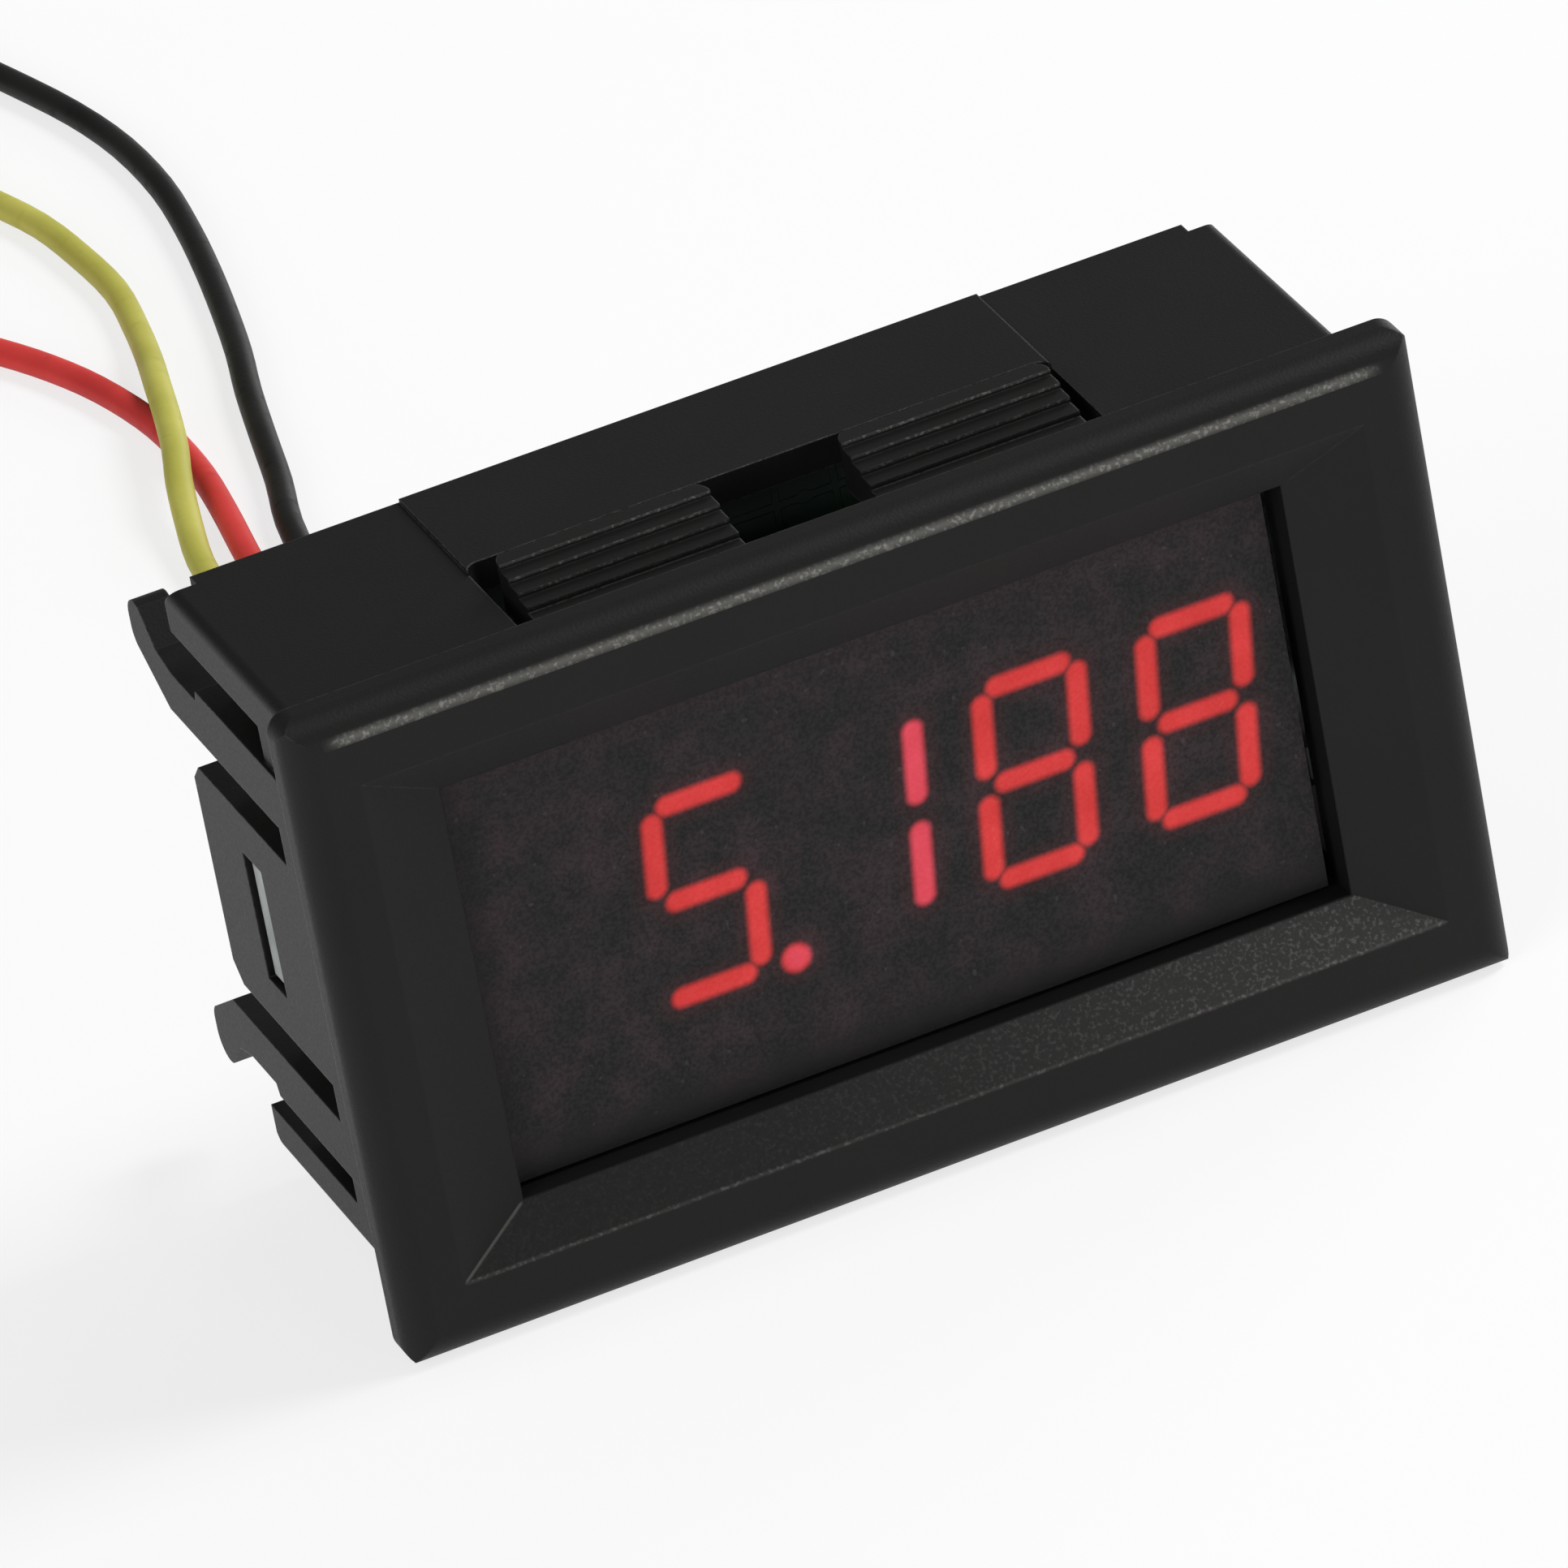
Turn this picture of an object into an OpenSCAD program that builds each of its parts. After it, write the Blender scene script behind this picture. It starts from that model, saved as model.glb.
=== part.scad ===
// Three-wire LED panel meter in a snap-in housing.
// Frame: X to the right seen from the front, Y to the rear, Z up. The origin is the middle of the
// bezel's back face, which meets the panel. The meter stands on the bezel's bottom edge.

/* [Bezel] */
// Width of the bezel
bezel_w = 48; // [46.5:0.5:60]
// Height of the bezel
bezel_h = 29; // [27.5:0.5:36]
// Thickness of the bezel in front of the panel
bezel_t = 2; // [1.7:0.1:3]
// Rounding of the bezel's front edge
bezel_round = 1.3; // [0.6:0.1:1.5]
// Radius of the bezel's corners seen from the front
bezel_corner = 0.9; // [0.3:0.1:1.3]
// Width of the recess's slope at each side of the window
slope_w = 3.4; // [2:0.1:3.8]
// Width of the recess's slope above and below the window
slope_h = 2; // [1:0.1:2.8]
// Depth of the recess from the bezel's front to the window's edge
recess_depth = 1.2; // [0.6:0.1:1.6]

/* [Body] */
// Width of the body across its corner strips
body_w = 45.3; // [44.6:0.1:45.9]
// Height of the body across its corner strips
body_h = 25.8; // [24.6:0.1:26.6]
// Depth of the body behind the panel
body_depth = 15; // [14:0.5:24]
// Thickness of the walls
wall = 1.2; // [0.9:0.1:1.3]
// Thickness of the front wall behind the bezel's back face
front_wall = 1.2; // [0.8:0.1:2]
// Radius of the body's corners
corner_r = 0.5; // [0.2:0.1:0.8]
// Width of the raised pads on the top and bottom walls
pad_w = 25; // [24:0.5:30]
// Height of the raised pads
pad_rise = 0.15; // [0.1:0.05:0.3]
// Height of the raised side pads, which carry the arms
side_rise = 0.2; // [0.1:0.05:0.25]
// Chamfer of the corner strips' rear ends
strip_chamfer = 0.7; // [0.3:0.1:1]

/* [Snap tongues] */
// Length of the clip window behind the bezel
clip_len = 8.3; // [8:0.1:11]
// Rounding of the clip window's rear corners
clip_r = 0.6; // [0.2:0.1:1]
// Length of each tongue
tongue_len = 7; // [6.8:0.1:7.6]
// Width of each tongue
tongue_w = 9; // [6:0.1:9.4]
// Gap between the two tongues of a pair
tongue_gap = 5.6; // [4:0.1:6]
// Rounding of each tongue's free corners
tongue_r = 1; // [0.4:0.1:2]
// How far the tongues stand proud of the body
tongue_rise = 1; // [0.6:0.1:1.4]
// Distance from the bezel to a tongue's last tooth
last_tooth = 5.9; // [5.6:0.1:6.2]
// Distance from the bezel to a tongue's first tooth
first_tooth = 3.35; // [2.1:0.05:3.6]
// Number of teeth on a tongue
tooth_count = 4; // [3:1:6]
// Chamfer of the tongues' free edge, which leads them into the cut-out
lead_in = 0.3; // [0.1:0.05:0.5]

/* [Side arms] */
// Distance from the bezel to the slots between the arms and the centre panel
slot_start = 5; // [4:0.1:6]
// Distance from the bezel to the slots between the arms and the corner strips
outer_slot_start = 5.7; // [4:0.1:6.5]
// Outer edge of the slot between an arm and a corner strip
strip_z = 10.9; // [10.6:0.1:11]
// Outer edge of an arm
arm_outer = 9.3; // [9:0.1:9.8]
// Inner edge of an arm
arm_inner = 6.7; // [6.4:0.1:7.2]
// How much narrower an arm is at its neck, behind the step
neck_step = 0.5; // [0.3:0.05:0.8]
// Half height of the centre panel
panel_z = 5; // [4:0.1:5.6]
// How far the arms reach behind the body
arm_reach = 4.7; // [3.5:0.1:6]
// Rounding of the arms' heads
head_r = 1; // [0.8:0.05:1.05]
// How far the centre panels reach behind the body
panel_reach = 0.3; // [0.1:0.1:1]
// Chamfer of the centre panels' free corners
panel_chamfer = 0.8; // [0.3:0.1:1.5]

/* [Display] */
// Distance between digits
digit_pitch = 7; // [6.8:0.1:7.3]
// Height of a digit between the middles of its top and bottom segments
digit_h = 8.55; // [7:0.05:9.5]
// Width of a digit between the middles of its upright segments
digit_w = 4.1; // [3.6:0.1:4.3]
// Width of a segment
stroke = 0.9; // [0.5:0.05:1]
// Gap between the ends of neighbouring segments
segment_gap = 0.12; // [0.06:0.02:0.2]
// Lean of the digits in degrees
slant = 5.6; // [0:0.2:6]
// Radius of a decimal point
point_r = 0.65; // [0.4:0.05:0.75]
// Depth of the segment wells
well_depth = 1; // [0.5:0.1:2]
// Height of the display's face beyond the digits
face_margin = 4.4; // [3.6:0.1:4.6]
// Gap above and below the display in the window
window_gap = 0.2; // [0.1:0.05:0.4]
// Gap at the display's left in the window
left_gap = 0.2; // [0.1:0.05:0.4]
// Gap at the display's right in the window
right_gap = 0.55; // [0.3:0.05:0.8]
// Thickness of the filter film
film_t = 0.5; // [0.2:0.1:0.6]
// Distance of the film behind the window's edge
film_setback = 0.9; // [0.5:0.1:1.2]
// Thickness of the display's base, whose end tabs snap into the side windows
base_t = 1.6; // [1:0.1:1.8]

/* [Circuit board] */
// Distance from the bezel's back face to the board
board_y = 10.6; // [9.8:0.1:11]
// Thickness of the board
board_t = 1; // [0.8:0.1:1.6]
// Gap between the board and the walls
board_gap = 0.2; // [0.1:0.05:0.3]
// Half height of the end tabs on the display's base
tab_z = 2.7; // [2:0.1:3.4]
// Gap round the tabs in the side windows
tab_gap = 0.2; // [0.05:0.05:0.3]
// Radius of a display pin
pin_r = 0.25; // [0.2:0.01:0.3]
// Radius of a pin's hole in the board
pin_hole_r = 0.45; // [0.38:0.01:0.5]
// Distance of the pin rows from the middle
pin_row_z = 7.6; // [7.2:0.1:7.9]
// Distance between pins
pin_pitch = 5.08; // [4:0.01:5.2]

/* [Trimmer] */
// Width of the trimmer
trimmer_w = 3.8; // [3.4:0.1:4.2]
// Height of the trimmer on the board
trimmer_h = 1.7; // [1.5:0.1:2]
// Radius of the trimmer's rotor
rotor_r = 1.3; // [1:0.05:1.4]
// Running clearance round the rotor
rotor_gap = 0.05; // [0.03:0.01:0.08]

/* [Leads] */
// Outer diameter of a lead
lead_d = 1.2; // [1:0.05:1.4]
// Diameter of a lead's tinned core
core_d = 0.7; // [0.5:0.05:0.8]
// Distance between the lead joints
lead_pitch = 2.5; // [2.3:0.1:2.8]
// Distance of the lead joints from the board's bottom edge
lead_edge = 1.35; // [1.25:0.05:1.6]

/* [Hidden] */
$fn = 48;
eps = 0.01;

// Walls and cavity
inner_w = body_w - 2 * wall;
inner_h = body_h - 2 * wall;
side_x = body_w / 2 + side_rise;
arm_tip = body_depth + arm_reach;
panel_tip = body_depth + panel_reach;

// Display: the shell follows the digits, and the window follows the shell
digit_count = 5;
shell_w = digit_count * digit_pitch + 0.1;
shell_h = digit_h + stroke + 2 * face_margin;
window_w = shell_w + left_gap + right_gap;
window_h = shell_h + 2 * window_gap;
shell_x = (left_gap - right_gap) / 2;
window_y = recess_depth - bezel_t;
film_y = window_y + film_setback;
shell_y = film_y + film_t;
// The digits stand a little to the left in their cells and a little high
digit_x0 = shell_x - (digit_count - 1) / 2 * digit_pitch - 0.55;
digit_z = 0.25;
point_dx = digit_w / 2 + 1;
face_depth = 2.4;
base_y = board_y - base_t;
base_h = 2 * (pin_row_z + 0.6);

// Board and what it carries
board_w = inner_w - 2 * board_gap;
board_h = inner_h - 2 * board_gap;
board_back = board_y + board_t;
tab_x = side_x - 0.25;
pins_per_row = 7;
solder_h = 0.6;
solder_r = 0.7;
chip_x = 4;
chip_w = 12.8;
chip_h = 7.5;
chip_t = 2.3;
chip_lift = 0.15;
chip_pin_pitch = 1.27;
chip_pins_per_side = 10;
regulator_at = [-9.2, 2.2];
diode_at = [-9, -3.6];
trimmer_at = [-16, 2];
rotor_floor = 0.6;
rotor_proud = 0.15;
rotor_slot = 0.5;

// Leads: routes along the floor, which is level with the bezel's bottom edge
floor_z = -bezel_h / 2;
lead_r = lead_d / 2;
joint_z = lead_edge - board_h / 2;
joint_y = board_back;
joint_len = 1.7;
joint_r = 0.95;
lead_start = joint_y + joint_len;
lie = floor_z + lead_r;
coil_r = 7.8;
tinned_len = 3.6;
curl_r = 3;
curl = 120;

yellow_x = -14;
red_x = yellow_x + lead_pitch;
black_x = red_x + lead_pitch;

yellow_route = [
    [yellow_x, lead_start, joint_z], [yellow_x, 17, joint_z], [-14, 21, joint_z - 1],
    [-13.6, 25, joint_z - 2.8], [-13.1, 29, lie], [-12.5, 33.5, lie], [-11.7, 38, lie],
    [-10.9, 42.5, lie], [-10, 47, lie], [-9.1, 51.5, lie], [-8.2, 56, lie], [-7.5, 60, lie],
    [-7.1, 63.5, lie + 0.1], [-6.5, 66.2, lie + 0.5], [-5.8, 68.8, lie + 1.1],
    [-4.9, 71.5, lie + 1.25], [-4.1, 74.5, lie + 1.25], [-3.4, 77.4, lie + 1.1],
    [-2.4, 81.4, lie + 0.4], [-1.6, 85.3, lie], [-1.1, 89, lie], [-1.2, 93, lie],
    [-1.6, 97, lie], [-2.6, 101, lie], [-4.3, 107.5, lie]
];
red_route = [
    [red_x, lead_start, joint_z], [red_x, 17, joint_z], [-11.4, 21, joint_z - 1],
    [-11, 25, joint_z - 2.8], [-10.5, 29, lie], [-9.9, 33.5, lie], [-9.2, 38, lie],
    [-8.5, 42.5, lie], [-7.7, 47, lie], [-6.9, 51.5, lie], [-6.2, 56, lie], [-5.6, 60, lie],
    [-5.1, 63.6, lie], [-4.6, 67, lie], [-4.2, 70.5, lie], [-4.1, 74, lie], [-4.3, 77.2, lie],
    [-5, 81, lie], [-6, 84.2, lie], [-7.3, 87.2, lie], [-9.2, 90.8, lie], [-11.2, 93.6, lie]
];
black_route = [
    [black_x, lead_start, joint_z], [black_x, 17, joint_z], [-8.9, 21, joint_z - 1],
    [-8.5, 25, joint_z - 2.8], [-8, 29, lie], [-7.3, 33.5, lie], [-6.6, 38, lie],
    [-5.9, 42.5, lie], [-5.2, 47, lie], [-4.5, 51.5, lie], [-3.9, 56, lie], [-3.4, 60, lie],
    [-2.7, 64.3, lie], [-1.7, 68, lie], [-0.8, 72, lie], [0.2, 76.3, lie], [1.2, 80, lie],
    [2.1, 84, lie], [2.9, 88, lie], [3.6, 92.2, lie], [4.1, 96.6, lie], [4.1, 101.4, lie],
    [3.5, 106, lie], [2.3, 111, lie], [0.9, 116, lie], [-0.8, 122, lie], [-2.2, 127, lie]
];
// Each coil: the heading in degrees at which its lead comes in, and its turns
yellow_heading = 106;
red_heading = 127;
black_heading = 106;
yellow_turns = 2.35;
red_turns = 2.85;
black_turns = 1.8;

// Helpers: extrude an outline along Y (drawn in X and Z), along X (drawn in Y and Z) or along Z
module along_y(y0, y1) {
    translate([0, y1, 0])
        rotate([90, 0, 0])
            linear_extrude(height = y1 - y0)
                children();
}

module along_x(x0, x1) {
    translate([x0, 0, 0])
        rotate([90, 0, 90])
            linear_extrude(height = x1 - x0)
                children();
}

module along_z(z0, z1) {
    translate([0, 0, z0])
        linear_extrude(height = z1 - z0)
            children();
}

module block(x0, x1, y0, y1, z0, z1) {
    translate([x0, y0, z0])
        cube([x1 - x0, y1 - y0, z1 - z0]);
}

module round_rect(w, h, r) {
    square([w - 2 * r, h], center = true);
    square([w, h - 2 * r], center = true);
    for (sx = [-1, 1])
        for (sy = [-1, 1])
            translate([sx * (w / 2 - r), sy * (h / 2 - r)])
                circle(r = r);
}

module left_and_right() {
    children();
    mirror([1, 0, 0])
        children();
}

module top_and_bottom() {
    children();
    mirror([0, 0, 1])
        children();
}

// Points along an arc, for corners of outlines
function arc(cx, cy, r, a0, a1, n) = [
    for (i = [0 : n])
        let (a = a0 + (a1 - a0) * i / n)
            [cx + r * cos(a), cy + r * sin(a)]
];

// Side profile of the bezel, drawn in Y and Z, with its front corners rounded
module edge_profile(height) {
    inner = height / 2 - bezel_round;
    translate([-bezel_t, -inner])
        square([bezel_t, 2 * inner]);
    translate([bezel_round - bezel_t, -height / 2])
        square([bezel_t - bezel_round, height]);
    for (z = [-inner, inner])
        translate([bezel_round - bezel_t, z])
            circle(r = bezel_round);
}

// Turns a profile drawn in Y and Z into one drawn in X and Y, for the other direction
module turned() {
    rotate(90)
        mirror([0, 1])
            children();
}

// Bezel: its outline, cut by the rounded side profiles of both directions
module bezel_block() {
    intersection() {
        along_y(-bezel_t, 0)
            round_rect(bezel_w, bezel_h, bezel_corner);
        along_x(-bezel_w, bezel_w)
            edge_profile(bezel_h);
        along_z(-bezel_h, bezel_h)
            turned()
                edge_profile(bezel_w);
    }
}

// Outline that narrows from the bezel's face to the window's edge, for one direction
module slope_outline(half, slope) {
    polygon([
        [-bezel_t - 1, -half - slope], [-bezel_t, -half - slope], [window_y, -half],
        [window_y + eps, -half], [window_y + eps, half], [window_y, half],
        [-bezel_t, half + slope], [-bezel_t - 1, half + slope]
    ]);
}

module recess() {
    intersection() {
        along_x(-bezel_w, bezel_w)
            slope_outline(window_h / 2, slope_h);
        along_z(-bezel_h, bezel_h)
            turned()
                slope_outline(window_w / 2, slope_w);
    }
}

module body_outline() {
    round_rect(body_w, body_h, corner_r);
    square([pad_w, body_h + 2 * pad_rise], center = true);
    square([2 * side_x, 2 * arm_outer], center = true);
}

// Side profile of a tongue, drawn in Y and Z: teeth that face the bezel and climb to the last one,
// then a chamfer at the free end
module tongue_profile() {
    root = body_h / 2 - wall;
    top = body_h / 2 + tongue_rise;
    pitch = (last_tooth - first_tooth) / (tooth_count - 1);
    rise = tongue_rise / tooth_count;
    polygon(concat(
        [[-bezel_t / 4, root], [-bezel_t / 4, body_h / 2]],
        [
            for (i = [0 : tooth_count - 1])
                let (y = first_tooth + i * pitch, z = body_h / 2 + i * rise)
                    each [[y, z], [y, z + rise]]
        ],
        [[tongue_len - lead_in, top], [tongue_len, top - lead_in], [tongue_len, root]]
    ));
}

module tongue_plan() {
    x0 = tongue_gap / 2;
    translate([x0, -bezel_t])
        square([tongue_w, bezel_t + tongue_len - tongue_r]);
    translate([x0 + tongue_r, -bezel_t])
        square([tongue_w - 2 * tongue_r, bezel_t + tongue_len]);
    for (x = [x0 + tongue_r, x0 + tongue_w - tongue_r])
        translate([x, tongue_len - tongue_r])
            circle(r = tongue_r);
}

module tongue() {
    intersection() {
        along_x(0, pad_w)
            tongue_profile();
        along_z(0, body_h)
            tongue_plan();
    }
}

// Side arm with its hammerhead, drawn in Y and Z
module arm_outline() {
    tip = arm_tip - head_r;
    neck = arm_outer - neck_step;
    polygon(concat(
        [[slot_start - 1, arm_inner], [arm_tip - 3.1, arm_inner]],
        arc(tip, arm_inner + 2.4, head_r, -48, 0, 5),
        arc(tip, arm_outer + 0.3, head_r, 0, 112, 9),
        [
            [arm_tip - 2.7, neck + 0.4], [body_depth + 0.5, neck], [body_depth - 2.1, neck],
            [body_depth - 2.3, arm_outer], [slot_start - 1, arm_outer]
        ]
    ));
}

module centre_panel_outline() {
    c = panel_chamfer;
    difference() {
        polygon([
            [slot_start - 1, -panel_z], [panel_tip - c, -panel_z], [panel_tip, -panel_z + c],
            [panel_tip, panel_z - c], [panel_tip - c, panel_z], [slot_start - 1, panel_z]
        ]);
        translate([base_y - tab_gap, -tab_z - tab_gap])
            square([base_t + 2 * tab_gap, 2 * (tab_z + tab_gap)]);
    }
}

// Openings of a side wall, drawn in Y and Z: the slots round the arms, and the strips' chamfers
module side_opening() {
    length = body_depth + 1 - slot_start;
    translate([slot_start, -arm_inner])
        square([length, 2 * arm_inner]);
    translate([outer_slot_start, -strip_z])
        square([length, 2 * strip_z]);
    for (s = [-1, 1])
        polygon([
            [body_depth - strip_chamfer, s * body_h / 2], [body_depth, s * (body_h / 2 - strip_chamfer)],
            [body_depth + 1, s * body_h / 2], [body_depth, s * (body_h / 2 + 1)]
        ]);
}

// Body walls: a box open to the rear, with clip windows and side openings
module body_walls() {
    difference() {
        along_y(-bezel_t / 4, body_depth)
            body_outline();
        along_y(front_wall, body_depth + 1)
            square([inner_w, inner_h], center = true);
        top_and_bottom()
            along_z(inner_h / 2, body_h)
                translate([0, (clip_len - 1) / 2])
                    round_rect(pad_w, clip_len + 1, clip_r);
        left_and_right()
            along_x(inner_w / 2, body_w)
                side_opening();
    }
}

// Corner ledges that the board's front rests on
module board_ledges() {
    left_and_right()
        top_and_bottom()
            block(inner_w / 2 - 2, inner_w / 2 + wall / 4, front_wall - eps, board_y,
                strip_z + 0.05, inner_h / 2 + wall / 4);
}

module housing() {
    color([0.1, 0.1, 0.1])
        difference() {
            union() {
                bezel_block();
                body_walls();
                left_and_right()
                    top_and_bottom()
                        tongue();
                left_and_right()
                    along_x(inner_w / 2, side_x) {
                        arm_outline();
                        mirror([0, 1])
                            arm_outline();
                        centre_panel_outline();
                    }
                board_ledges();
            }
            recess();
            block(-window_w / 2, window_w / 2, window_y, front_wall + eps, -window_h / 2, window_h / 2);
        }
}

// Film that darkens the display
module display_filter() {
    color([0.16, 0.15, 0.16])
        block(shell_x - shell_w / 2, shell_x + shell_w / 2, film_y, shell_y, -shell_h / 2, shell_h / 2);
}

// A segment is a slim six-sided bar. Segments are given by their middle, length and direction.
function lean(p) = [p[0] + p[1] * tan(slant), p[1]];

function upright(x, z, len) =
    let (w = stroke / 2, end = len / 2, neck = end - w)
    [for (p = [[0, -end], [w, -neck], [w, neck], [0, end], [-w, neck], [-w, -neck]]) lean([x, z] + p)];

function level(x, z, len) =
    let (w = stroke / 2, end = len / 2, neck = end - w)
    [for (p = [[-end, 0], [-neck, -w], [neck, -w], [end, 0], [neck, w], [-neck, w]]) lean([x, z] + p)];

upright_len = digit_h / 2 - 2 * segment_gap;
level_len = digit_w - 2 * segment_gap;

function segment(letter) =
    letter == "a" ? level(0, digit_h / 2, level_len) :
    letter == "b" ? upright(digit_w / 2, digit_h / 4, upright_len) :
    letter == "c" ? upright(digit_w / 2, -digit_h / 4, upright_len) :
    letter == "d" ? level(0, -digit_h / 2, level_len) :
    letter == "e" ? upright(-digit_w / 2, -digit_h / 4, upright_len) :
    letter == "f" ? upright(-digit_w / 2, digit_h / 4, upright_len) :
    level(0, 0, level_len);

function digit_x(n) = digit_x0 + (n - 1) * digit_pitch;

module segments(n, letters) {
    for (letter = letters)
        translate([digit_x(n), 0, digit_z])
            along_y(shell_y, shell_y + well_depth)
                polygon(segment(letter));
}

module points(numbers) {
    for (n = numbers)
        translate([digit_x(n) + point_dx, shell_y + well_depth, digit_z - digit_h / 2])
            rotate([90, 0, 0])
                cylinder(r = point_r, h = well_depth);
}

module lit(n, letters) {
    color([0.9, 0.12, 0.1])
        segments(n, letters);
}

module unlit(n, letters) {
    color([0.75, 0.72, 0.7])
        segments(n, letters);
}

// White shell: a face that fills the window, a narrower box behind it, and a base whose end tabs
// snap into the side windows
module display_shell() {
    left = shell_x - shell_w / 2;
    color([0.93, 0.93, 0.92])
        difference() {
            union() {
                block(left, left + shell_w, shell_y, shell_y + face_depth, -shell_h / 2, shell_h / 2);
                block(left, left + shell_w, shell_y, board_y, -base_h / 2, base_h / 2);
                block(-board_w / 2, board_w / 2, base_y, board_y, -base_h / 2, base_h / 2);
                block(-tab_x, tab_x, base_y, board_y, -tab_z, tab_z);
            }
            for (n = [1 : digit_count])
                segments(n, ["a", "b", "c", "d", "e", "f", "g"]);
            points([1 : digit_count]);
        }
}

module at_pins() {
    for (i = [0 : pins_per_row - 1])
        for (s = [-1, 1])
            translate([(i - (pins_per_row - 1) / 2) * pin_pitch, 0, s * pin_row_z])
                children();
}

// A cylinder or cone along Y from y0 to y1
module post(r0, r1, y0, y1) {
    translate([0, y0, 0])
        rotate([-90, 0, 0])
            cylinder(r1 = r0, r2 = r1, h = y1 - y0);
}

module display_pins() {
    color([0.8, 0.8, 0.8])
        at_pins()
            post(pin_r, pin_r, board_y, board_back + solder_h + 0.4);
}

module display_solder() {
    color([0.75, 0.76, 0.78])
        at_pins()
            difference() {
                post(solder_r, pin_r + 0.1, board_back, board_back + solder_h);
                post(pin_r, pin_r, board_back - eps, board_back + solder_h + eps);
            }
}

module circuit_board() {
    color([0.05, 0.35, 0.2])
        difference() {
            block(-board_w / 2, board_w / 2, board_y, board_back, -board_h / 2, board_h / 2);
            at_pins()
                post(pin_hole_r, pin_hole_r, board_y - eps, board_back + eps);
        }
}

// Controller chip: a moulded body with a dimple, and gull-wing pins along both long sides
module chip_body() {
    color([0.13, 0.13, 0.14])
        difference() {
            block(chip_x - chip_w / 2, chip_x + chip_w / 2, board_back + chip_lift,
                board_back + chip_lift + chip_t, -chip_h / 2, chip_h / 2);
            translate([chip_x - chip_w / 2 + 1.2, board_back + chip_lift + chip_t - 0.15, -chip_h / 2 + 1.2])
                post(0.5, 0.5, 0, 1);
        }
}

// Profile of a bent pin, drawn in Y and Z: out of the body, down and along the board
module gull_wing(body_z, reach, height, t) {
    polygon([
        [board_back + height, body_z], [board_back + height, body_z + 0.5],
        [board_back + t, body_z + 0.8], [board_back + t, body_z + reach],
        [board_back, body_z + reach], [board_back, body_z + 0.6],
        [board_back + height - t, body_z + 0.35], [board_back + height - t, body_z]
    ]);
}

module chip_pins() {
    color([0.78, 0.78, 0.8])
        top_and_bottom()
            for (i = [0 : chip_pins_per_side - 1])
                translate([chip_x + (i - (chip_pins_per_side - 1) / 2) * chip_pin_pitch - 0.2, 0, 0])
                    along_x(0, 0.4)
                        gull_wing(chip_h / 2, 1.45, chip_lift + chip_t / 2, 0.25);
}

module regulator_body() {
    color([0.12, 0.12, 0.13])
        translate([regulator_at[0], 0, regulator_at[1]])
            block(-2.25, 2.25, board_back, board_back + 1.5, -1.25, 1.25);
}

module regulator_leads() {
    color([0.78, 0.78, 0.8])
        translate([regulator_at[0], 0, regulator_at[1]]) {
            for (i = [-1 : 1])
                block(i * 1.5 - 0.22, i * 1.5 + 0.22, board_back, board_back + 0.4, -2.2, -1.25);
            block(-0.8, 0.8, board_back, board_back + 0.4, 1.25, 1.9);
        }
}

module diode_body() {
    color([0.12, 0.12, 0.13])
        translate([diode_at[0], 0, diode_at[1]])
            block(-2.15, 2.15, board_back + 0.1, board_back + 2.1, -1.3, 1.3);
}

module diode_leads() {
    color([0.78, 0.78, 0.8])
        translate([diode_at[0], 0, diode_at[1]])
            left_and_right()
                block(2.15, 2.6, board_back, board_back + 1.1, -0.7, 0.7);
}

// Small two-ended parts: X, Z and the angle of each on the board
resistor_spots = [
    [13.4, 3.2, 90], [15.4, 3.2, 90], [17.4, 3.2, 90], [19.4, 3.2, 90],
    [13.4, -0.4, 90], [15.4, -0.4, 90], [-16, -3.4, 0], [-16, -1.6, 0]
];
capacitor_spots = [
    [17.4, -0.4, 90], [19.4, -0.4, 90], [14, -3.8, 0], [18, -3.8, 0], [-4.8, 4.6, 90], [-4.8, -4.6, 90]
];
small_len = 2;
small_cap = 0.35;
resistor_h = 0.5;
capacitor_h = 0.9;

module at_spots(spots) {
    for (spot = spots)
        translate([spot[0], 0, spot[1]])
            rotate([0, spot[2], 0])
                children();
}

module small_body(h) {
    w = small_len / 2 - small_cap;
    block(-w, w, board_back, board_back + h, -0.6, 0.6);
}

module small_ends(h) {
    left_and_right()
        block(small_len / 2 - small_cap, small_len / 2, board_back, board_back + h, -0.6, 0.6);
}

module chip_resistors() {
    color([0.1, 0.1, 0.11])
        at_spots(resistor_spots)
            small_body(resistor_h);
}

module chip_capacitors() {
    color([0.66, 0.5, 0.36])
        at_spots(capacitor_spots)
            small_body(capacitor_h);
}

module chip_end_caps() {
    color([0.78, 0.78, 0.8]) {
        at_spots(resistor_spots)
            small_ends(resistor_h);
        at_spots(capacitor_spots)
            small_ends(capacitor_h);
    }
}

// Calibration trimmer: a square body with a well, and a slotted rotor that turns in it
module trimmer_body() {
    color([0.9, 0.88, 0.8])
        translate([trimmer_at[0], board_back, trimmer_at[1]])
            difference() {
                block(-trimmer_w / 2, trimmer_w / 2, 0, trimmer_h, -trimmer_w / 2, trimmer_w / 2);
                post(rotor_r + rotor_gap, rotor_r + rotor_gap, rotor_floor, trimmer_h + 1);
            }
}

module trimmer_terminals() {
    color([0.78, 0.78, 0.8])
        translate([trimmer_at[0], board_back, trimmer_at[1]]) {
            for (s = [-1, 1])
                block(s * 1.15 - 0.35, s * 1.15 + 0.35, 0, 0.5, -trimmer_w / 2 - 0.5, -trimmer_w / 2);
            block(-0.6, 0.6, 0, 0.5, trimmer_w / 2, trimmer_w / 2 + 0.5);
        }
}

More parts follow.
